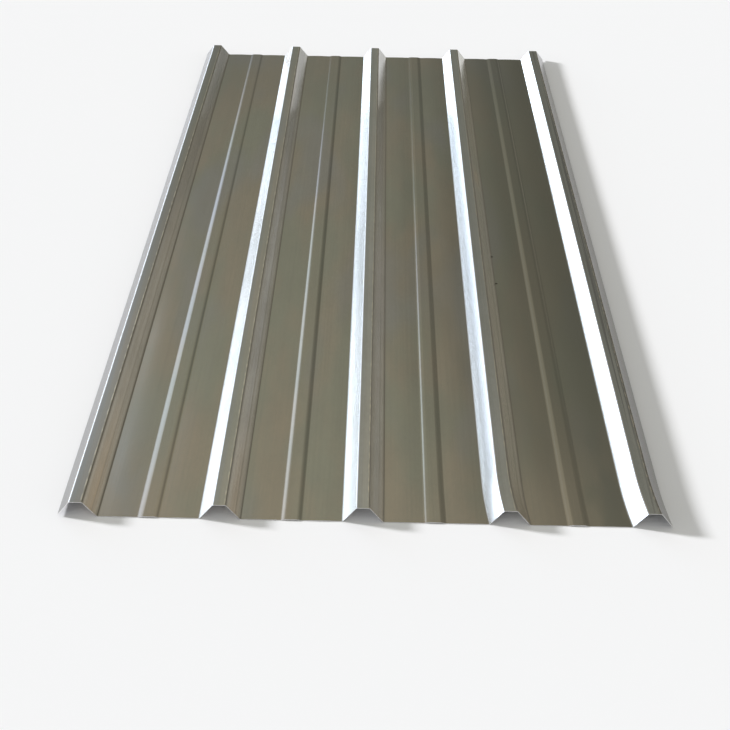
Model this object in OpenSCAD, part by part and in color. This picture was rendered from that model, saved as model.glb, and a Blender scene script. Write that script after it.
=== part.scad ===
// Roll-formed roofing sheet: trapezoidal ribs with stiffening swages in the flat pans.
// One piece of galvanised steel, lying on its pans with the ribs up.
// X runs across the ribs, Y along them, and Z is up from the surface it lies on.

/* [Sheet] */
// Length of the sheet, along the ribs
sheet_length = 2000; // [500:10:6000]
// Thickness of the steel
sheet_thickness = 0.5; // [0.3:0.05:1.2]

/* [Ribs] */
// Number of ribs, the two along the edges included
rib_count = 5; // [2:1:8]
// Distance from one rib to the next
rib_pitch = 210; // [150:1:300]
// Height of a rib's crest above the pan beside it
rib_height = 25; // [15:0.5:40]
// Width of the flat crest of a rib
crest_width = 19; // [14:0.5:30]
// Distance across the ribs that a sloping web covers
web_run = 20.5; // [10:0.5:30]
// Height above the floor at which the outer web of an edge rib is cut off
edge_lift = 3; // [1:0.5:6]
// Radius on the inside of a rib's bends
rib_bend_radius = 3; // [1:0.25:4]

/* [Swages] */
// Height of the shallow swage along the middle of each pan
swage_height = 1.5; // [1:0.25:4]
// Width of the top of a swage, between the corners that its bends round off
swage_top_width = 19.5; // [14:0.5:40]
// Distance across the ribs that a flank of a swage covers, between the same corners
swage_flank_run = 5.5; // [4:0.5:12]
// Share of a flank that its bend at the top takes up
swage_top_bend_share = 0.5; // [0.2:0.05:0.6]
// Share of a flank that its bend at the foot takes up
swage_foot_bend_share = 0.25; // [0.1:0.05:0.35]

/* [Hidden] */

// Flat chords that a bend is divided into
bend_chords = 6;
// Zinc coating, as it looks in daylight
zinc_colour = [0.66, 0.66, 0.63];

half_thickness = sheet_thickness / 2;
pan_level = half_thickness;
crest_level = pan_level + rib_height;
swage_level = pan_level + swage_height;
// The middle of the cut edge, and how far out along the web's slope it lies
edge_level = edge_lift + half_thickness;
edge_run = web_run * (crest_level - edge_level) / rib_height;
last_rib = rib_count - 1;

// Distance from a sharp corner to where its bend begins, on the middle of the steel
rib_turn = atan2(rib_height, web_run);
rib_setback = (rib_bend_radius + half_thickness) * tan(rib_turn / 2);
swage_flank = norm([swage_flank_run, swage_height]);
swage_top_setback = swage_flank * swage_top_bend_share;
swage_foot_setback = swage_flank * swage_foot_bend_share;

// Middle of one rib, with the ribs centred on the sheet
function rib_middle(index) = (index - last_rib / 2) * rib_pitch;

// Sharp corners of one rib, from left to right, with an outer web that stops at the cut edge
function rib_corners(index) =
    let (middle = rib_middle(index), crest_edge = crest_width / 2)
    [
        index == 0
            ? [middle - crest_edge - edge_run, edge_level]
            : [middle - crest_edge - web_run, pan_level],
        [middle - crest_edge, crest_level],
        [middle + crest_edge, crest_level],
        index == last_rib
            ? [middle + crest_edge + edge_run, edge_level]
            : [middle + crest_edge + web_run, pan_level],
    ];

// Sharp corners of the swage in the pan to the right of a rib
function swage_corners(index) =
    let (middle = rib_middle(index) + rib_pitch / 2, top_edge = swage_top_width / 2)
    [
        [middle - top_edge - swage_flank_run, pan_level],
        [middle - top_edge, swage_level],
        [middle + top_edge, swage_level],
        [middle + top_edge + swage_flank_run, pan_level],
    ];

// Sharp corners of the middle line across the whole sheet, and the setback of the bend at each
corners = [
    for (index = [0 : last_rib])
        each concat(rib_corners(index), index < last_rib ? swage_corners(index) : [])
];
rib_setbacks = [for (corner = rib_corners(0)) rib_setback];
swage_setbacks = [swage_foot_setback, swage_top_setback, swage_top_setback, swage_foot_setback];
setbacks = [
    for (index = [0 : last_rib])
        each concat(rib_setbacks, index < last_rib ? swage_setbacks : [])
];
last_corner = len(corners) - 1;

// Direction of the flat strip that follows a corner, and the way its upper side faces
function heading(index) =
    let (run = corners[index + 1] - corners[index])
    atan2(run.y, run.x);
function along(angle) = [cos(angle), sin(angle)];
function upward(angle) = [-sin(angle), cos(angle)];

// One rounded bend, on the line that lies a given offset above the middle of the steel
function bend(index, offset) =
    let (
        start_angle = heading(index - 1),
        turn = heading(index) - start_angle,
        side = sign(turn),
        setback = setbacks[index],
        middle_radius = setback / tan(abs(turn) / 2),
        start = corners[index] - setback * along(start_angle),
        centre = start + side * middle_radius * upward(start_angle)
    )
    [
        for (chord = [0 : bend_chords])
            centre + (offset - side * middle_radius)
                * upward(start_angle + turn * chord / bend_chords)
    ];

// One face of the steel, from the left cut edge to the right one
function face(offset) = concat(
    [corners[0] + offset * upward(heading(0))],
    [for (index = [1 : last_corner - 1]) each bend(index, offset)],
    [corners[last_corner] + offset * upward(heading(last_corner - 1))]
);

function reversed(points) = [for (index = [len(points) - 1 : -1 : 0]) points[index]];

// Section of the steel across the ribs
module section() {
    polygon(concat(reversed(face(half_thickness)), face(-half_thickness)));
}

// The sheet, with its section drawn out along the ribs
module corrugated_sheet() {
    color(zinc_colour)
        rotate([90, 0, 0])
            linear_extrude(height = sheet_length, center = true)
                section();
}

corrugated_sheet();
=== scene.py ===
# %% [markdown]
# The object is one sheet of galvanised roofing steel: five ribs, four flat pans and a shallow swage along
# each pan. A mill makes it from a flat strip, which a row of rollers folds a little more at each stand.
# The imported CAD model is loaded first. It fixes the size and the place, and everything here is fitted to it.

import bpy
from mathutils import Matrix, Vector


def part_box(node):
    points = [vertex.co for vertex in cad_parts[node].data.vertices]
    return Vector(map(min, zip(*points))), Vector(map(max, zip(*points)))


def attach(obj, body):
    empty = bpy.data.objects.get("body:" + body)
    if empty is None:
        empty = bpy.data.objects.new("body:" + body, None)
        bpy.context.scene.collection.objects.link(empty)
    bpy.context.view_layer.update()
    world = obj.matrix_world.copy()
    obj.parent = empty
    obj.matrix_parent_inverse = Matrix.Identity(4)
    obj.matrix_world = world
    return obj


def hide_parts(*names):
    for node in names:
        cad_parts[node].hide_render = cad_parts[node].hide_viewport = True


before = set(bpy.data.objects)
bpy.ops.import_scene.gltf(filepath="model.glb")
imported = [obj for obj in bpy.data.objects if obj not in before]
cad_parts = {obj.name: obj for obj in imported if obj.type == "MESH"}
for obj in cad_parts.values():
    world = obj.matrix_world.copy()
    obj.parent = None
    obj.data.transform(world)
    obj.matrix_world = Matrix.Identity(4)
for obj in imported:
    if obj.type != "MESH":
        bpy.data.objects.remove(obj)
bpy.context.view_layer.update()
low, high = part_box("corrugated_sheet")

# %% [markdown]
# Blender works in metres. The length and the height come from the CAD box, so that they can't drift from it,
# and the sizes across the sheet are the ones that the rolls would be cut to. The line through the middle of
# the steel is what gets folded, so levels are measured to that line.

# %% Sizes of the sheet
import math

import bpy

MM = 0.001
steel = 0.5 * MM
rib_count = 5
rib_pitch = 210 * MM
crest_width = 19 * MM
web_run = 20.5 * MM
edge_lift = 3 * MM
swage_height = 1.5 * MM
swage_top_width = 19.5 * MM
swage_flank_run = 5.5 * MM

sheet_length = high.y - low.y
pan_level = low.z + steel / 2
crest_level = high.z - steel / 2
rib_height = crest_level - pan_level
swage_level = pan_level + swage_height
edge_level = edge_lift + steel / 2
edge_run = web_run * (crest_level - edge_level) / rib_height
last_rib = rib_count - 1
print("length", round(sheet_length, 4), "rib height", round(rib_height, 4))

# %% [markdown]
# The fold lines are the corners of the section, from the left edge to the right one. They could be typed in
# as a list of points, but they are worked out rib by rib, so that a change of one size moves every fold that
# depends on it. The two outer webs stop a little above the floor, where the strip was slit.


# %% Fold lines across the sheet
def rib_middle(index):
    return (index - last_rib / 2) * rib_pitch


def rib_folds(index):
    left = rib_middle(index) - crest_width / 2
    right = rib_middle(index) + crest_width / 2
    start = (left - edge_run, edge_level) if index == 0 else (left - web_run, pan_level)
    end = (right + edge_run, edge_level) if index == last_rib else (right + web_run, pan_level)
    return [start, (left, crest_level), (right, crest_level), end]


def swage_folds(index):
    middle = rib_middle(index) + rib_pitch / 2
    top = swage_top_width / 2
    foot = top + swage_flank_run
    return [
        (middle - foot, pan_level),
        (middle - top, swage_level),
        (middle + top, swage_level),
        (middle + foot, pan_level),
    ]


folds = []
for rib in range(rib_count):
    folds += rib_folds(rib)
    if rib < last_rib:
        folds += swage_folds(rib)
strip_width = sum(math.dist(a, b) for a, b in zip(folds, folds[1:]))
print(len(folds), "fold lines, flat strip about", round(strip_width, 4), "m wide")

# %% [markdown]
# The sheet could be bent out of one flat plane, but it is quicker to build it the way a strip leaves the
# rolls: a narrow grid is the first web, and its free edge is extruded from fold to fold until the other side
# is reached. The grid has many rows along the sheet, which later let the steel wave a little.

# %% Narrow grid on the left edge
from mathutils import Vector

length_rows = 100
start = Vector((folds[0][0], 0, folds[0][1]))
second = Vector((folds[1][0], 0, folds[1][1]))

bpy.ops.object.select_all(action="DESELECT")
bpy.ops.mesh.primitive_grid_add(x_subdivisions=1, y_subdivisions=length_rows, size=sheet_length)
sheet = bpy.context.object
sheet.name = "galvanised_sheet"
sheet.data.name = "galvanised_sheet"
bpy.ops.object.mode_set(mode="EDIT")
bpy.ops.mesh.select_all(action="SELECT")
bpy.ops.transform.resize(value=((second - start).x / sheet_length, 1, 1))
bpy.ops.transform.translate(value=((second + start).x / 2, 0, start.z))
print("grid:", len(sheet.data.vertices), "vertices")

# %% [markdown]
# An operator acts on what is selected. By hand one would click on the edges. A script picks them by their
# place instead, with a small test for each job, and that still holds when a size changes. The first job is
# to lift the right side of the grid up to the crest, which makes it the outer web.


# %% Lift the first web
def pick(want_vertex=None, want_edge=None):
    """Selects the vertices or edges of the sheet that a test accepts, and nothing else."""
    bpy.ops.object.mode_set(mode="EDIT")
    bpy.ops.mesh.select_mode(type="VERT" if want_vertex else "EDGE")
    bpy.ops.mesh.select_all(action="DESELECT")
    bpy.ops.object.mode_set(mode="OBJECT")
    points = sheet.data.vertices
    if want_vertex:
        for vertex in points:
            vertex.select = want_vertex(vertex.co)
    else:
        for edge in sheet.data.edges:
            ends = [points[index].co for index in edge.vertices]
            edge.select = want_edge(*ends)
    bpy.ops.object.mode_set(mode="EDIT")


pick(want_vertex=lambda spot: spot.x > (start.x + second.x) / 2)
bpy.ops.transform.translate(value=(0, 0, (second - start).z))
print("first web rises", round((second - start).z / MM, 2), "mm")

# %% [markdown]
# Each extrusion leaves its new edge selected, so the next one carries on from there. After 34 of them the
# strip has every flat of the section, with sharp folds between them.

# %% Fold the strip from left to right
for here, there in zip(folds[1:], folds[2:]):
    step = (there[0] - here[0], 0, there[1] - here[1])
    bpy.ops.mesh.extrude_region_move(TRANSFORM_OT_translate={"value": step})
bpy.ops.object.mode_set(mode="OBJECT")
print("folded strip:", len(sheet.data.polygons), "faces")

# %% [markdown]
# Steel can't fold to a sharp line: each fold is an arc. The setback from the fold to where its arc begins
# depends on how far the steel turns there. A rib's bends have one radius. A swage is softer: the bend at its
# top is long, the one at its foot is short, and little of the flank between them is flat.

# %% Setback of each kind of bend
rib_bend_radius = 3 * MM
swage_top_bend_share = 0.5
swage_foot_bend_share = 0.25

rib_turn = math.atan2(rib_height, web_run)
swage_flank = math.hypot(swage_flank_run, swage_height)
setbacks = {
    "rib": (rib_bend_radius + steel / 2) * math.tan(rib_turn / 2),
    "swage top": swage_flank * swage_top_bend_share,
    "swage foot": swage_flank * swage_foot_bend_share,
}
bends = {"rib": [], "swage top": [], "swage foot": []}
for rib in range(rib_count):
    bends["rib"] += rib_folds(rib)
for rib in range(last_rib):
    left_foot, left_top, right_top, right_foot = swage_folds(rib)
    bends["swage top"] += [left_top, right_top]
    bends["swage foot"] += [left_foot, right_foot]
for kind, setback in setbacks.items():
    print(kind, "bends begin", round(setback / MM, 2), "mm from the fold")

# %% [markdown]
# A Bevel modifier rounds every fold by the same amount, unless each edge is given a weight. The bevel
# operator works on the picked edges alone, so each kind of bend gets a setback of its own. Several segments
# make the arc.

# %% Round the bends
close = 0.01 * MM
bend_segments = 6


def on_fold(places):
    """A test for an edge that runs along one of these fold lines, away from the free edges of the sheet."""
    def accept(a, b):
        along = abs(a.x - b.x) < close and abs(a.z - b.z) < close
        folded = any(abs(a.x - x) < close and abs(a.z - z) < close for x, z in places)
        return along and folded and folds[0][0] + close < a.x < folds[-1][0] - close
    return accept


for kind, places in bends.items():
    pick(want_edge=on_fold(places))
    bpy.ops.mesh.bevel(
        offset=setbacks[kind],
        offset_type="OFFSET",
        segments=bend_segments,
        affect="EDGES",
    )
    bpy.ops.object.mode_set(mode="OBJECT")
    print(kind, "bends rounded:", len(sheet.data.polygons), "faces")

# %% [markdown]
# Wide flats of thin steel never stay quite flat: they billow by a fraction of a millimetre, which shows as
# soft waves in what they mirror. The pans are cut into narrow columns first, so that they can take that
# shape.

# %% Cut the pans into columns
pan_columns = 6
wide = 20 * MM


def across_a_flat(a, b):
    return abs(a.y - b.y) < close and abs(a.x - b.x) > wide


pick(want_edge=across_a_flat)
bpy.ops.mesh.subdivide(number_cuts=pan_columns - 1)
bpy.ops.object.mode_set(mode="OBJECT")
print("with columns:", len(sheet.data.polygons), "faces")

# %% [markdown]
# The billow must leave the bends as straight as the rolls made them. So a vertex group holds only the flats,
# and most strongly their middles. Its weights rise and fall from column to column like a sine.

# %% Weights of the flats
rib_half = crest_width / 2 + web_run
flat_width = rib_pitch / 2 - rib_half - swage_top_width / 2 - swage_flank_run
column_width = flat_width / pan_columns


def in_column(distance):
    """A test for a vertex that lies this far from the middle of the nearest rib."""
    def accept(spot):
        nearest = round(spot.x / rib_pitch + last_rib / 2)
        return abs(abs(spot.x - rib_middle(nearest)) - distance) < column_width / 3
    return accept


sheet.vertex_groups.new(name="flats")
for column in range(1, pan_columns):
    bpy.context.tool_settings.vertex_group_weight = math.sin(math.pi * column / pan_columns)
    pick(want_vertex=in_column(rib_half + column_width * column))
    bpy.ops.object.vertex_group_assign()
    bpy.ops.object.mode_set(mode="OBJECT")
print("columns of", round(column_width / MM, 1), "mm")

# %% [markdown]
# A Displace modifier with a soft cloud texture lifts the steel. Sculpting would do it too, but clouds come
# out the same on every run, and one length sets how far apart the waves are.

# %% Let the pans billow
billow = 0.8 * MM
billow_length = 0.22

clouds = bpy.data.textures.new("billow", "CLOUDS")
clouds.noise_scale = billow_length
clouds.noise_depth = 1
bpy.ops.object.modifier_add(type="DISPLACE")
sheet.modifiers[-1].texture = clouds
sheet.modifiers[-1].texture_coords = "LOCAL"
sheet.modifiers[-1].direction = "Z"
sheet.modifiers[-1].mid_level = 0
sheet.modifiers[-1].strength = billow
sheet.modifiers[-1].vertex_group = "flats"
bpy.ops.object.modifier_apply(modifier=sheet.modifiers[-1].name)
print("billowed by up to", round(billow / MM, 2), "mm")

# %% [markdown]
# Where the mill shears the strip, the section springs open a little, because the stress that the rolls left
# is set free there. On the near end the two ribs on the right swing outwards by a few millimetres. The rows
# next to that end are split first, and proportional editing then lets the swing die out over a short length.

# %% Flare of the near end
flare = 5.5 * MM
flare_reach = 105 * MM
end_row_cuts = 2


def in_end_row(a, b):
    return abs(a.x - b.x) < close and max(a.y, b.y) < low.y + flare_reach


def on_flared_rib(spot):
    flared_ribs = (last_rib - 1, last_rib)
    in_rib = any(abs(spot.x - rib_middle(rib)) < rib_half + close for rib in flared_ribs)
    return in_rib and spot.y < low.y + close


pick(want_edge=in_end_row)
bpy.ops.mesh.subdivide(number_cuts=end_row_cuts)
pick(want_vertex=on_flared_rib)
bpy.ops.transform.translate(
    value=(flare, 0, 0),
    use_proportional_edit=True,
    proportional_edit_falloff="SHARP",
    proportional_size=flare_reach,
)
bpy.ops.object.mode_set(mode="OBJECT")
print("right edge now reaches", round(max(v.co.x for v in sheet.data.vertices) / MM, 1), "mm")

# %% [markdown]
# So far the sheet has no thickness. Solidify gives it half a millimetre, half to each side of the middle
# line. Smooth shading rounds the bends, and Weighted Normal keeps the wide flats from looking pillowed.

# %% Thickness and shading
smooth_below = math.radians(40)

bpy.ops.object.modifier_add(type="SOLIDIFY")
sheet.modifiers[-1].thickness = steel
sheet.modifiers[-1].offset = 0
sheet.modifiers[-1].use_even_offset = True
bpy.ops.object.modifier_apply(modifier=sheet.modifiers[-1].name)
bpy.ops.object.shade_smooth_by_angle(angle=smooth_below)
bpy.ops.object.modifier_add(type="WEIGHTED_NORMAL")
sheet.modifiers[-1].keep_sharp = True
bpy.ops.object.modifier_apply(modifier=sheet.modifiers[-1].name)
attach(sheet, "root")
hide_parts("corrugated_sheet")
print("sheet:", len(sheet.data.polygons), "faces")

# %% [markdown]
# A finish is a tree of shader nodes. Writing its sums as Python keeps them readable, so a small class wraps
# an output socket and turns each operator into a Math node. Every other node comes from one method, which
# sets the node's own settings first and then its sockets.


# %% Shader sums in Python
class Nodes:
    """Adds nodes to one tree."""

    def __init__(self, tree):
        self.tree = tree

    def add(self, kind, settings=None, sockets=None, output=0):
        node = self.tree.nodes.new(kind)
        for name, value in (settings or {}).items():
            setattr(node, name, value)
        for name, value in (sockets or {}).items():
            if isinstance(value, Socket):
                self.tree.links.new(value.output, node.inputs[name])
            else:
                node.inputs[name].default_value = value
        return Socket(self, node.outputs[output]) if node.outputs else None


class Socket:
    """One output socket, which Python's operators can reckon with."""

    def __init__(self, nodes, output):
        self.nodes = nodes
        self.output = output

    def math(self, operation, *values):
        sockets = dict(enumerate(values))
        return self.nodes.add("ShaderNodeMath", {"operation": operation}, sockets)

    def __add__(self, other):
        return self.math("ADD", self, other)

    def __sub__(self, other):
        return self.math("SUBTRACT", self, other)

    def __mul__(self, other):
        return self.math("MULTIPLY", self, other)

    def __truediv__(self, other):
        return self.math("DIVIDE", self, other)

    def __radd__(self, other):
        return self.math("ADD", other, self)

    def __rsub__(self, other):
        return self.math("SUBTRACT", other, self)

    def __rmul__(self, other):
        return self.math("MULTIPLY", other, self)

    def __abs__(self):
        return self.math("ABSOLUTE", self)

    def fraction(self):
        """What is left over a whole number."""
        return self.math("FRACT", self)

    def between(self, start, end, kind="SMOOTHSTEP"):
        """0 at start, 1 at end and a soft step between them."""
        sockets = {"Value": self, "From Min": start, "From Max": end}
        return self.nodes.add("ShaderNodeMapRange", {"interpolation_type": kind}, sockets)


print("shader helpers ready")

# %% [markdown]
# Galvanised steel is zinc under a thin film that keeps it from tarnishing. Its marks could be painted on an
# image, but noise on Object coordinates needs none, and it stays put from every side. Noise that is
# stretched along the sheet gives the streaks that the rolls draw out, and a coarse one gives patches of
# another tint.

# %% Noise for the finish
zinc = bpy.data.materials.new("galvanised_zinc")
zinc.use_nodes = True
zinc.node_tree.nodes.clear()
zinc_nodes = Nodes(zinc.node_tree)
place = zinc_nodes.add("ShaderNodeTexCoord", output="Object")


def noise(waves_across, waves_along, detail, roughness=0.5):
    """Noise with about so many waves to a metre across the sheet, and so many along it."""
    scale = (waves_across, waves_along, waves_across)
    stretched = zinc_nodes.add("ShaderNodeMapping", sockets={"Vector": place, "Scale": scale})
    sockets = {"Vector": stretched, "Scale": 1, "Detail": detail, "Roughness": roughness}
    return zinc_nodes.add("ShaderNodeTexNoise", {"noise_dimensions": "3D"}, sockets)


streaks = noise(waves_across=260, waves_along=1.2, detail=4, roughness=0.6)
roll_lines = noise(waves_across=900, waves_along=0.8, detail=2)
patches = noise(waves_across=9, waves_along=2.2, detail=3)
greys = noise(waves_across=7, waves_along=1.6, detail=2)
bloom = noise(waves_across=26, waves_along=9, detail=4)
blotches = noise(waves_across=17, waves_along=5, detail=2)
crystals = noise(waves_across=150, waves_along=90, detail=1)
dashes = noise(waves_across=420, waves_along=70, detail=2)
print("noise:", len(zinc.node_tree.nodes), "nodes")

# %% [markdown]
# The finish follows the profile, so it needs to know where a point lies on it. The flare moved the near end
# of the ribs on the right, so that shift is taken off first: across is the place that a point had before it.
# Over the pitch, and with a half added, the fraction of that place goes from 0 to 1 between the middles of
# two pans, and it is a half on the rib between them.

# %% Places on the sheet
sideways = zinc_nodes.add("ShaderNodeSeparateXYZ", sockets={0: place}, output="X")
lengthwise = zinc_nodes.add("ShaderNodeSeparateXYZ", sockets={0: place}, output="Y")
upright = zinc_nodes.add("ShaderNodeSeparateXYZ", sockets={0: place}, output="Z")

flare_start = rib_middle(last_rib - 1) - rib_half
near_end = 1 - lengthwise.between(low.y, low.y + flare_reach, "LINEAR")
flared_side = sideways.between(flare_start - flare_reach / 2, flare_start)
across = sideways - flare * near_end * near_end * flared_side
beside_rib = ((across / rib_pitch + 0.5).fraction() - 0.5) * rib_pitch
from_rib = abs(beside_rib)
print("ribs repeat every", round(rib_pitch / MM), "mm")

# %% [markdown]
# The rolls press hardest on the ribs, so crests and webs have marks of their own, and each bend gets a line
# of painted shade. A mask is 1 where a mark belongs and 0 elsewhere. Vertex groups could hold the masks, but
# a distance is sharper than the mesh is, and it follows the sizes of the ribs.

# %% Masks on a rib
bend_fade = 2.2 * MM
bend_mark = 2.7 * MM
crest_half = crest_width / 2


def line_at(distance, middle, half_width):
    """1 along a line, fading out on both sides of it."""
    return 1 - abs(distance - middle).between(0, half_width)


off_crest = from_rib.between(crest_half - bend_fade, crest_half)
on_rib = 1 - from_rib.between(rib_half - bend_fade, rib_half + bend_fade)
on_web = on_rib * off_crest
on_crest = 1 - off_crest
crest_left = on_crest * (1 - beside_rib.between(-0.25 * crest_width, 0.1 * crest_width))
crest_wear = line_at(beside_rib, crest_half - bend_fade, 0.8 * bend_fade)
bend_lines = line_at(from_rib, crest_half, bend_mark) + line_at(from_rib, rib_half, bend_mark)
print("bends marked", round(bend_mark / MM, 1), "mm to each side")

# %% [markdown]
# The two sides of a rib shine and wear in their own ways, so the webs get masks by side: those that face
# left, those that face right, and the outer ones. Low on each web that faces right is one thin line, which
# a roll left there.

# %% Masks on the webs
web_middle = crest_half + web_run / 2
web_top = -crest_half - bend_fade
roll_mark = crest_half + 0.64 * web_run
roll_mark_width = 0.9 * MM
roll_mark_fade = 0.02 * web_run

right_webs = line_at(beside_rib, web_middle, 0.6 * web_run)
left_webs = on_rib * (1 - beside_rib.between(web_top - bend_fade / 2, web_top + bend_fade / 2))
web_mark = line_at(beside_rib, roll_mark, roll_mark_width)
lower_web = on_web * beside_rib.between(roll_mark - roll_mark_fade, roll_mark + roll_mark_fade)
outer_web = across.between(high.x - web_run - bend_fade, high.x - web_run + bend_fade)
fourth_rib = across.between(flare_start - rib_half, flare_start)
fourth_rib = fourth_rib * (1 - across.between(flare_start + rib_half, flare_start + 3 * rib_half))
print("webs", round(web_run / MM, 1), "mm wide")

# %% [markdown]
# Where the strip was sheared, bare steel shows in place of the zinc. Low on the outer webs, along the slit
# edges, a dark line is painted shadow. These masks read the height above the floor and the place along the
# sheet. One more holds the outer half of the last rib.

# %% Masks on the cut edges
slit_top = edge_lift + 0.6 * MM
slit_gone = edge_lift + 1.4 * MM
half_length = sheet_length / 2
last_middle = rib_middle(last_rib)

edge_rib = across.between(last_middle - crest_half, last_middle)
outer_side = abs(across).between(last_middle, last_middle + crest_half)
# Painted shadow: this mask holds a dark line low along the slit edges.
slit_edge_shadow_mask = outer_side * (1 - upright.between(slit_top, slit_gone))
cut_ends = abs(lengthwise).between(half_length - 0.6 * MM, half_length - 0.2 * MM)
print("slit edges up to", round(slit_gone / MM, 1), "mm")

# %% [markdown]
# The finish also changes slowly from one end of the sheet to the other and from side to side. Each change
# is a soft ramp. Its range says where it begins and where it is complete, in metres.

# %% Masks along the sheet and across it
front_range = (low.y, low.y + 0.45)
far_range = (high.y - 0.55, high.y - 0.15)
first_pan_range = (-0.36, -0.30)
right_pan_range = (0.10, 0.40)
right_rib_range = (-0.40, 0.25)
middle_web_range = (0.15, 0.19)

near_front = 1 - lengthwise.between(*front_range)
far_end = lengthwise.between(*far_range)
first_pan = 1 - across.between(*first_pan_range)
right_pans = across.between(*right_pan_range)
right_ribs = across.between(*right_rib_range)
middle_webs = right_webs * (1 - abs(across + rib_pitch / 2).between(*middle_web_range))
print("masks:", len(zinc.node_tree.nodes), "nodes so far")

# %% [markdown]
# Two small specks of dirt lie at the foot of the fourth rib. Noise would scatter specks all over, so each is
# a soft spot round one point of the sheet.

# %% Specks
speck_radius = 3.2 * MM
speck_core = 0.55 * speck_radius
far_speck = (0.2415, -0.149, pan_level)
near_speck = (0.2432, -0.26, pan_level)


def spot_at(centre):
    """1 round one point of the sheet, and 0 away from it."""
    sockets = {0: place, 1: centre}
    distance = zinc_nodes.add("ShaderNodeVectorMath", {"operation": "DISTANCE"}, sockets, output="Value")
    return 1 - distance.between(speck_core, speck_radius)


specks = spot_at(far_speck) + spot_at(near_speck)
print("two specks of", round(speck_radius / MM, 1), "mm")

# %% [markdown]
# The colours are mixed one over the other, like coats. The number before a mask is the share of the new
# colour where the mask is 1. First comes the film on the pans: olive with tan and grey patches, grey near
# the front of the first pan, darker to the right and at the far end, with tan blotches at the near end.

# %% Film on the pans
film_green = (0.55, 0.555, 0.465, 1)
film_tan = (0.62, 0.555, 0.455, 1)
film_grey = (0.555, 0.55, 0.54, 1)
dark_film_and_painted_shade = (0.39, 0.39, 0.325, 1)
# A dark grey, which also serves as painted shade on the outer webs and on the first rib's crest.
dark_grey_and_painted_shade = (0.22, 0.22, 0.24, 1)
corner_left = (0.20, 0.25)
corner_right = (0.28, 0.34)
corner_length = (low.y + 0.06, low.y + 0.2)


def mixed(factor, first, second):
    """A colour between two others. A Mix node has colours on inputs 6 and 7 and on output 2."""
    sockets = {0: factor, 6: first, 7: second}
    return zinc_nodes.add("ShaderNodeMix", {"data_type": "RGBA"}, sockets, output=2)


near_corner = across.between(*corner_left) * (1 - across.between(*corner_right))
near_corner = near_corner * (1 - lengthwise.between(*corner_length))
film = mixed(patches.between(0.38, 0.62), film_green, film_tan)
film = mixed(0.8 * greys.between(0.5, 0.66), film, film_grey)
film = mixed(0.75 * first_pan * near_front, film, film_grey)
film = mixed(0.75 * right_pans, film, dark_film_and_painted_shade)
film = mixed(0.14 * far_end + 0.06 * first_pan, film, dark_grey_and_painted_shade)
film = mixed(0.75 * near_corner, film, film_tan)
film = mixed(0.6 * near_front * near_front * blotches.between(0.4, 0.6), film, film_tan)
print("film:", len(zinc.node_tree.nodes), "nodes so far")

# %% [markdown]
# The crests are what other things rub against, so the film is thinner there and paler zinc shows. The extra
# pale zinc on the ribs to the right is painted light, which evens out the dimmer reflection there. The left
# side of each crest is bluer, and the first rib's crest is darkened with painted shade.

# %% Worn crests, with painted light and shade
worn_and_painted_pale_zinc = (0.80, 0.815, 0.80, 1)
blue_zinc = (0.55, 0.585, 0.605, 1)

# Painted light: more pale zinc on the crests of the ribs to the right.
colour = mixed(on_crest * (0.2 + 0.65 * right_ribs), film, worn_and_painted_pale_zinc)
colour = mixed(crest_left * (0.6 - 0.3 * right_ribs), colour, blue_zinc)
# Painted shade: the first rib's crest is darkened.
colour = mixed(0.22 * on_crest * first_pan, colour, dark_grey_and_painted_shade)
print("crests:", len(zinc.node_tree.nodes), "nodes so far")

# %% [markdown]
# The webs slide over the rolls, which polish them bright. Those that face right get darker towards the far
# end, and those that face left have a darker stretch before the middle of the sheet, and the fourth rib's is
# darker all along. These are painted shade, which stands for dimmer reflections there.

# %% Bright webs and painted shade
bright_zinc = (0.93, 0.90, 0.86, 1)
painted_shade_grey = (0.50, 0.485, 0.46, 1)
far_shade_range = (-0.9, 0.6)
dim_start = (-0.45, -0.25)
dim_end = (-0.1, 0.1)
dim_side = (0.05, 0.12)

far_painted_shade = lengthwise.between(*far_shade_range) * (1 - left_webs)
dim_stretch = lengthwise.between(*dim_start) * (1 - lengthwise.between(*dim_end))
dim_stretch = dim_stretch * (1 - across.between(*dim_side))
painted_shade_on_webs = left_webs * (0.45 * fourth_rib + 0.45 * dim_stretch)
# Painted shade: less bright zinc on the webs that face right, towards the far end.
colour = mixed(on_web * (0.95 - 0.6 * far_painted_shade), colour, bright_zinc)
# Painted shade: darker stretches on the webs that face left.
colour = mixed(painted_shade_on_webs, colour, painted_shade_grey)
print("bright webs:", len(zinc.node_tree.nodes), "nodes so far")

# %% [markdown]
# The webs that face right carry most of the tints. The first rib has tan streaks, and the second has tan at
# its near end. The middle ribs are cool zinc, which fades towards the far end. The ribs to the right are
# more olive, the far end is darkened with painted shade, so that it mirrors the pale floor beyond the sheet
# less brightly, and one tan patch lies on the fourth rib.

# %% Tints and painted shade of the webs that face right
web_tan = (0.93, 0.76, 0.60, 1)
cool_zinc = (0.95, 0.95, 0.99, 1)
far_web_painted_shade = (0.34, 0.34, 0.36, 1)
cool_range = (-0.2, 0.6)
left_rib_range = (-0.17, -0.10)
olive_range = (0.12, 0.18)
far_web_range = (-0.2, 0.4)
far_web_side = (0.1, 0.2)
tan_patch_middle = 0.2
tan_patch_half = 0.08

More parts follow.
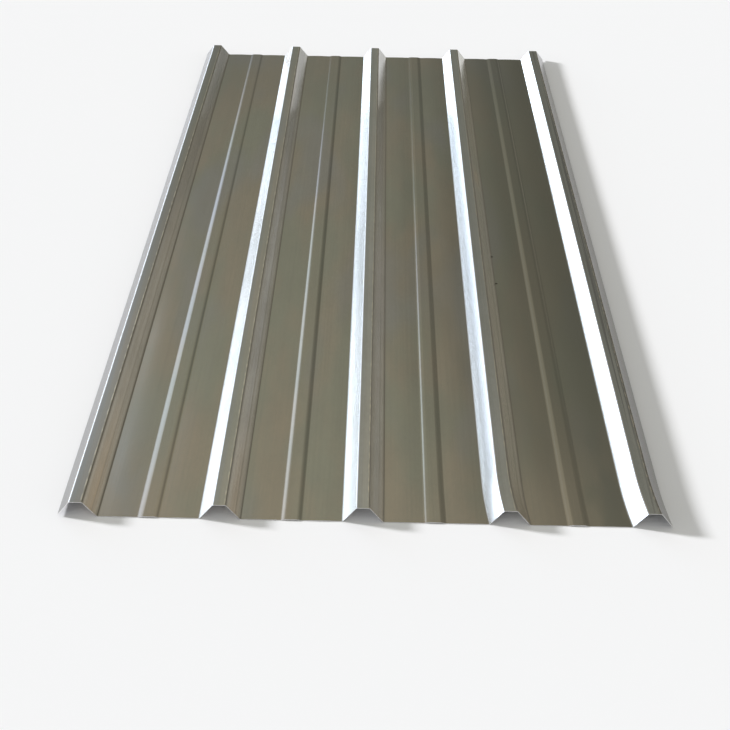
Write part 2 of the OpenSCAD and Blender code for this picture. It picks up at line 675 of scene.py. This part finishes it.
tan_streaks = 0.5 + 0.5 * streaks.between(0.42, 0.6)
left_ribs = right_webs * (1 - across.between(*left_rib_range))
far_shade_webs = right_webs * lengthwise.between(*far_web_range) * (1 - across.between(*far_web_side))
tan_patch = right_webs * fourth_rib * line_at(lengthwise, tan_patch_middle, tan_patch_half)
colour = mixed(right_webs * first_pan * tan_streaks * (0.2 + 0.55 * near_front), colour, web_tan)
colour = mixed(middle_webs * (0.85 - 0.55 * lengthwise.between(*cool_range)), colour, cool_zinc)
colour = mixed(0.6 * left_ribs * near_front * near_front, colour, web_tan)
colour = mixed(0.35 * right_webs * across.between(*olive_range), colour, film_green)
# Painted shade: the far end of the webs that face right is darkened.
colour = mixed(0.55 * right_webs * far_end, colour, dark_film_and_painted_shade)
colour = mixed(0.36 * far_shade_webs, colour, far_web_painted_shade)
colour = mixed(0.75 * tan_patch, colour, web_tan)
print("tints:", len(zinc.node_tree.nodes), "nodes so far")

# %% [markdown]
# The two outer webs are darker than the rest, which is painted shade for the dark things that they mirror,
# and the last rib has dark streaks. Then streaks, bloom and fine crystals dull the zinc all over, a little
# more on the webs and below their thin line.

# %% Painted shade on the outer webs, and dull streaks
edge_dark = (0.26, 0.25, 0.28, 1)
dull_zinc = (0.42, 0.41, 0.36, 1)

dull = 0.16 * streaks.between(0.35, 0.75)
dull = dull + 0.14 * bloom.between(0.35, 0.7)
dull = dull + 0.06 * crystals.between(0.35, 0.65)
dull = dull + 0.11 * on_web * roll_lines.between(0.5, 0.7) + 0.12 * lower_web
# Painted shade: the two outer webs are darkened here.
colour = mixed(0.85 * outer_web + 0.88 * left_webs * first_pan, colour, dark_grey_and_painted_shade)
colour = mixed(0.6 * edge_rib * streaks.between(0.45, 0.6), colour, edge_dark)
colour = mixed(dull, colour, dull_zinc)
print("streaks:", len(zinc.node_tree.nodes), "nodes so far")

# %% [markdown]
# The fine marks go on top: a dark line along each bend, which is painted shade, a broken bright line where
# the right side of a crest is rubbed, the specks, and the cut edges, of which the slit ones get a dark line of
# painted shadow.

# %% Lines, specks and cut edges
roll_mark_and_painted_bend_shade = (0.30, 0.27, 0.22, 1)
worn_edge = (0.98, 0.92, 0.80, 1)
painted_edge_shadow = (0.30, 0.30, 0.31, 1)
speck_dark = (0.05, 0.045, 0.03, 1)
sheared_steel = (0.80, 0.79, 0.78, 1)

bend_share = 0.58 + 0.16 * first_pan + 0.25 * fourth_rib
# Painted shade: a dark line along each bend. The roll mark on the webs takes the same colour.
colour = mixed(bend_share * bend_lines + 0.35 * web_mark, colour, roll_mark_and_painted_bend_shade)
colour = mixed(crest_wear * (0.2 + 0.7 * dashes.between(0.45, 0.58)), colour, worn_edge)
# Painted shadow: a dark line low along the slit edges of the outer webs.
colour = mixed(slit_edge_shadow_mask, colour, painted_edge_shadow)
colour = mixed(0.95 * specks, colour, speck_dark)
colour = mixed(cut_ends, colour, sheared_steel)
print("colour:", len(zinc.node_tree.nodes), "nodes so far")

# %% [markdown]
# Zinc is a metal all over, and fairly smooth, so its roughness only wavers a little. A very low bump breaks
# up the reflections, which would look drawn without it. The webs have an even roughness and less bump.

# %% Galvanised finish
base_roughness = 0.15
web_roughness = 0.052
end_roughness = 0.2
speck_roughness = 0.1
bump_strength = 0.06
bump_depth = 0.4 * MM

uneven = (0.02 * streaks + 0.03 * bloom + 0.02 * crystals) * (1 - on_web)
roughness = base_roughness + uneven + web_roughness * on_web
roughness = roughness + end_roughness * cut_ends + speck_roughness * specks
height = (0.5 * bloom + 0.3 * streaks + 0.15 * crystals) * (1 - 0.8 * on_web)
bump = zinc_nodes.add(
    "ShaderNodeBump",
    sockets={"Strength": bump_strength, "Distance": bump_depth, "Height": height},
)
metal = zinc_nodes.add(
    "ShaderNodeBsdfPrincipled",
    sockets={"Base Color": colour, "Metallic": 1.0, "Roughness": roughness, "Normal": bump},
)
zinc_nodes.add("ShaderNodeOutputMaterial", sockets={"Surface": metal})
sheet.data.materials.clear()
sheet.data.materials.append(zinc)
print("finish:", len(zinc.node_tree.nodes), "nodes")

# %% [markdown]
# A metal shows mostly what stands around it. The room could be built from screens and lamps, but soft shapes
# on the world's dome do the same and stay out of the picture: dim warm walls all round, a window with panes
# low at the back left, a pale wall above it, and weaker windows and panels on the other sides.

# %% Directions on the dome
world = bpy.data.worlds.new("soft_dome")
bpy.context.scene.world = world
world.use_nodes = True
world.node_tree.nodes.clear()
dome = Nodes(world.node_tree)
# In a world, this output is the direction in which a ray leaves the scene.
direction = dome.add("ShaderNodeTexCoord", output="Generated")
# 0 at the horizon and 1 overhead.
up = dome.add("ShaderNodeSeparateXYZ", sockets={0: direction}, output="Z")


def towards(azimuth, elevation):
    """Unit vector of a direction, with azimuth measured clockwise from the far end of the sheet."""
    turn = math.radians(azimuth)
    lift = math.radians(elevation)
    return Vector((math.sin(turn) * math.cos(lift), math.cos(turn) * math.cos(lift), math.sin(lift)))


def glow(azimuth, elevation, full, gone):
    """1 within an angle of a direction, and 0 beyond a wider one, all in degrees."""
    sockets = {0: direction, 1: towards(azimuth, elevation)}
    cosine = dome.add("ShaderNodeVectorMath", {"operation": "DOT_PRODUCT"}, sockets, output="Value")
    return cosine.between(math.cos(math.radians(gone)), math.cos(math.radians(full)))


def dome_light(colour, strength):
    """Light of one colour, as strong as a value says."""
    return dome.add("ShaderNodeBackground", sockets={"Color": colour, "Strength": strength})


print("far end lies towards", [round(part, 2) for part in towards(azimuth=0, elevation=0)])

# %% [markdown]
# The window is what the webs that face left mirror. It is brightest along its sill, and single panes add to
# that, so that what the webs mirror isn't one even white. A pale wall stands above it, up to about 35
# degrees.

# %% Window and pale wall at the back left
window_blue = (0.80, 0.97, 1.22, 1)
wall_blue = (0.86, 0.98, 1.26, 1)
window_top = (0.21, 0.33)
sill_top = (0.05, 0.12)
left_wall_top = (0.53, 0.60)

near_horizon = 1 - up.between(*window_top)
panes = 0.9 + 4.5 * (1 - up.between(*sill_top))
panes = panes + 0.9 * glow(azimuth=-22, elevation=8, full=1.5, gone=3.5)
panes = panes + 2.0 * glow(azimuth=-40, elevation=9, full=6, gone=10.5)
panes = panes + 1.5 * glow(azimuth=-29.5, elevation=6, full=1.5, gone=3.5)
panes = panes + 1.5 * glow(azimuth=-20, elevation=4, full=1, gone=3)
opening = glow(azimuth=-42, elevation=0, full=24, gone=30) * near_horizon
window = dome_light(window_blue, panes * opening)
pale_wall = glow(azimuth=-30, elevation=24, full=13.5, gone=18) * (1 - up.between(*left_wall_top))
left_wall = dome_light(wall_blue, 0.72 * pale_wall)
print("window:", len(world.node_tree.nodes), "nodes")

# %% [markdown]
# The webs that face right mirror a faint warm glow low at the back right. The sides and the end behind the
# camera get weaker windows, walls and soft panels, so that the sheet looks like metal from there too.

# %% Lights on the other sides
warm_white = (1.0, 0.92, 0.82, 1)
soft_white = (0.95, 1.0, 1.06, 1)
band_foot = (0.075, 0.12)
side_wall_top = (0.3, 0.6)

low_glow = 0.08 * glow(azimuth=46, elevation=4, full=10, gone=24)
right_band = 0.16 * glow(azimuth=26, elevation=9, full=8, gone=16) * up.between(*band_foot)
low_right = dome_light(warm_white, low_glow + right_band)
side_walls = 0.3 * glow(azimuth=105, elevation=10, full=35, gone=60)
side_walls = side_walls + 0.45 * glow(azimuth=255, elevation=10, full=35, gone=60)
side_walls = side_walls * (1 - up.between(*side_wall_top))
other_windows = 0.5 * glow(azimuth=100, elevation=0, full=14, gone=26)
other_windows = other_windows + 0.4 * glow(azimuth=170, elevation=0, full=16, gone=28)
other_windows = other_windows + 1.4 * glow(azimuth=240, elevation=0, full=14, gone=26)
panels = 0.35 * glow(azimuth=150, elevation=24, full=5, gone=40)
panels = panels + 0.4 * glow(azimuth=212, elevation=38, full=6, gone=24)
panels = panels + 0.3 * glow(azimuth=180, elevation=72, full=6, gone=28)
others = dome_light(soft_white, side_walls + other_windows * near_horizon + panels)
print("other sides:", len(world.node_tree.nodes), "nodes so far")

# %% [markdown]
# The pans mirror the walls at the back. The walls are dim, a little warmer higher up, and darker at the back
# right. Light adds up, so the parts of the dome are joined with Add Shader nodes.

# %% Dim walls all round
wall_olive = (0.975, 0.975, 0.84, 1)
wall_warm = (1.0, 0.93, 0.80, 1)
dim_foot = (0.15, 0.3)
high_wall_foot = (0.25, 0.7)


def together(first, second):
    return dome.add("ShaderNodeAddShader", sockets={0: first, 1: second})


dim_right = 1 - 0.45 * glow(azimuth=26, elevation=24, full=15, gone=26) * up.between(*dim_foot)
dark_foot = 1 - 0.3 * glow(azimuth=25, elevation=2, full=8, gone=15)
low_wall = dome_light(wall_olive, 0.25 * dim_right * dark_foot)
high_wall = dome_light(wall_warm, 0.16 * up.between(*high_wall_foot) * dim_right)
total = together(together(window, left_wall), together(low_right, others))
total = together(total, together(low_wall, high_wall))
dome.add("ShaderNodeOutputWorld", sockets={"Surface": total})
print("dome:", len(world.node_tree.nodes), "nodes")

# %% [markdown]
# A soft lamp low at the left lights the floor and gives the sheet its shadow. It stays out of the
# reflections, where the dome alone is seen, as a lamp behind a large screen would.

# %% Floor lamp
lamp_from = towards(azimuth=-74, elevation=20)
lamp_strength = 4.5
lamp_spread = math.radians(8)

lamp = bpy.data.lights.new("floor_lamp", "SUN")
lamp.energy = lamp_strength
lamp.angle = lamp_spread
lamp_object = bpy.data.objects.new("floor_lamp", lamp)
bpy.context.scene.collection.objects.link(lamp_object)
lamp_object.rotation_euler = lamp_from.to_track_quat("Z", "Y").to_euler()
lamp_object.visible_glossy = False
print("lamp of strength", lamp.energy)

# %% [markdown]
# The floor is a plain pale plane, just below the pans, so that the two never share a face. It is large
# enough to reach the horizon, and it only has to take the sheet's shadow.

# %% Pale floor
floor_gap = 0.2 * MM
floor_size = 800
floor_pale = (0.90, 0.90, 0.93, 1)

bpy.ops.object.select_all(action="DESELECT")
bpy.ops.mesh.primitive_plane_add(size=floor_size, location=(0, 0, low.z - floor_gap))
floor = bpy.context.object
floor.name = "floor"
paper = bpy.data.materials.new("pale_floor")
paper.use_nodes = True
paper_finish = paper.node_tree.nodes["Principled BSDF"].inputs
paper_finish["Base Color"].default_value = floor_pale
paper_finish["Roughness"].default_value = 1
paper_finish["Specular IOR Level"].default_value = 0
floor.data.materials.append(paper)
print("floor at", round((low.z - floor_gap) / MM, 2), "mm")

# %% [markdown]
# The photograph was taken from 1.28 m up, before the near end, a little off the middle and not quite level.
# The camera could be set by eye, but its place and angles come from the rib lines, which run to one
# vanishing point. They are applied in turn: roll first, then pitch, yaw and place.

# %% Camera
from mathutils import Matrix

picture_width = 730
focal_pixels = 1400
sensor_width = 36
camera_from_end = 1.6214
camera_height = 1.2774
camera_side = 0.0086
camera_pitch = math.radians(31.83)
camera_yaw = math.radians(0.334)
camera_roll = math.radians(0.968)

lens = bpy.data.cameras.new("camera")
lens.sensor_width = sensor_width
lens.clip_end = floor_size
lens.lens = focal_pixels * sensor_width / picture_width
camera = bpy.data.objects.new("camera", lens)
bpy.context.scene.collection.objects.link(camera)
camera.matrix_world = (
    Matrix.Translation((camera_side, low.y - camera_from_end, camera_height))
    @ Matrix.Rotation(camera_yaw, 4, "Z")
    @ Matrix.Rotation(math.pi / 2 - camera_pitch, 4, "X")
    @ Matrix.Rotation(camera_roll, 4, "Z")
)
bpy.context.scene.camera = camera
bpy.context.scene.view_settings.view_transform = "Standard"
print("lens of", round(lens.lens, 1), "mm")
